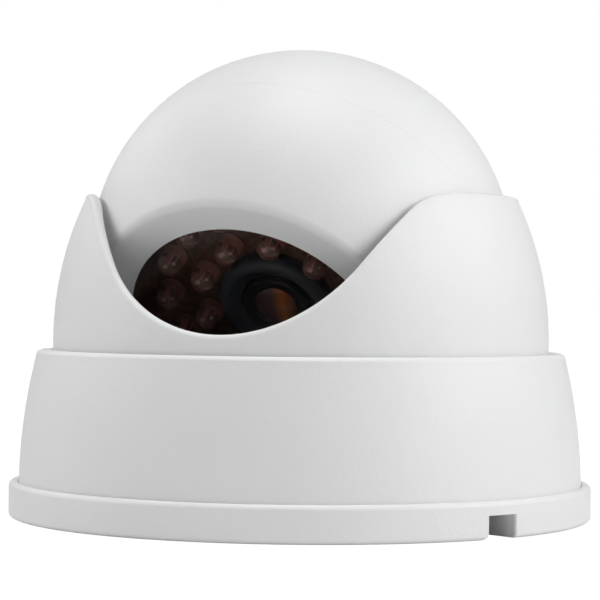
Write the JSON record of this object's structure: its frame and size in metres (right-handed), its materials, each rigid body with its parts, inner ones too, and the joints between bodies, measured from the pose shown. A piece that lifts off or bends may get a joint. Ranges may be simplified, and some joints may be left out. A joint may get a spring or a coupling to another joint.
{
  "type": "dome security camera",
  "caption": "Ceiling dome camera: round mounting plate and housing, turning collar with a U-shaped notch, and a tilting ball with a dished smoked window over ringed infrared lamps.",
  "frame": {"origin": "centre of the mounting plate's face that goes against the ceiling or wall", "axes": "+Z out of the mounting face towards the ball; the collar's notch faces -Y, and the ball rests turned 6.4 degrees towards -X from it and looking 37.5 degrees below the horizontal"},
  "size_m": [0.12, 0.12, 0.0962],
  "materials": {
    "white_abs": "satin, very fine moulded grain",
    "black_plastic": "satin",
    "grey_nylon": "satin",
    "steel": "bright zinc plating",
    "brass": "turned",
    "rubber": "matt",
    "green_board": "glass fibre board with solder mask",
    "black_board": "glass fibre board with black solder mask",
    "chip": "moulded epoxy",
    "socket": "moulded nylon",
    "smoked_window": "polished, smoked",
    "clear_epoxy": "polished, water clear",
    "lens_glass": "polished, amber and purple coating",
    "photocell": "clear coat over a meander track",
    "filter_glass": "polished"
  },
  "bodies": {
    "base": {"mounting_plate": "white_abs", "base_housing": "white_abs", "pan_washer": "grey_nylon", "base_board": "green_board", "base_board_screws": "steel", "terminal_block": "black_plastic", "cable_clamp": "grey_nylon", "cable_clamp_screws": "steel"},
    "collar": {"collar_shell": "white_abs", "retaining_ring": "black_plastic", "ring_screws": "steel"},
    "yoke": {"tilt_yoke": "black_plastic"},
    "ball": {"ball_front_shell": "white_abs", "ball_rear_shell": "white_abs", "smoked_window": "smoked_window", "pivot_bushes": "brass", "pivot_screws": "steel", "tilt_washers": "grey_nylon", "wire_grommet": "rubber", "led_board": "black_board", "led_board_screws": "steel", "inner_ir_leds": "clear_epoxy", "outer_ir_leds": "clear_epoxy", "light_sensor": "photocell", "lens_shroud": "black_plastic", "board_standoffs": "brass", "sensor_board": "green_board", "sensor_board_screws": "steel", "image_sensor": "chip", "video_processor": "chip", "video_socket": "socket", "lens_holder": "black_plastic", "lens_holder_screws": "steel", "ir_filter": "filter_glass"},
    "lens": {"lens_barrel": "black_plastic", "lens_front_glass": "lens_glass", "lens_rear_glass": "lens_glass", "lens_lock_ring": "brass"}
  },
  "joints": [
    {"name": "collar_pan", "type": "hinge", "parent": "base", "child": "collar", "pos_m": [0, 0, 0.03], "axis": [0, 0, 1], "range_deg": [-170, 170]},
    {"name": "yoke_swivel", "type": "hinge", "parent": "collar", "child": "yoke", "pos_m": [0, 0, 0.0265], "axis": [0, 0, 1], "range_deg": [-8.6, 21.4]},
    {"name": "ball_tilt", "type": "hinge", "parent": "yoke", "child": "ball", "pos_m": [0, 0, 0.0523], "axis": [-0.9938, 0.1115, 0], "range_deg": [-7, 127.5]},
    {"name": "lens_focus", "type": "hinge", "parent": "ball", "child": "lens", "pos_m": [0, 0, 0.0523], "axis": [-0.0884, -0.7884, -0.6088], "range_deg": [-180, 180]}
  ]
}
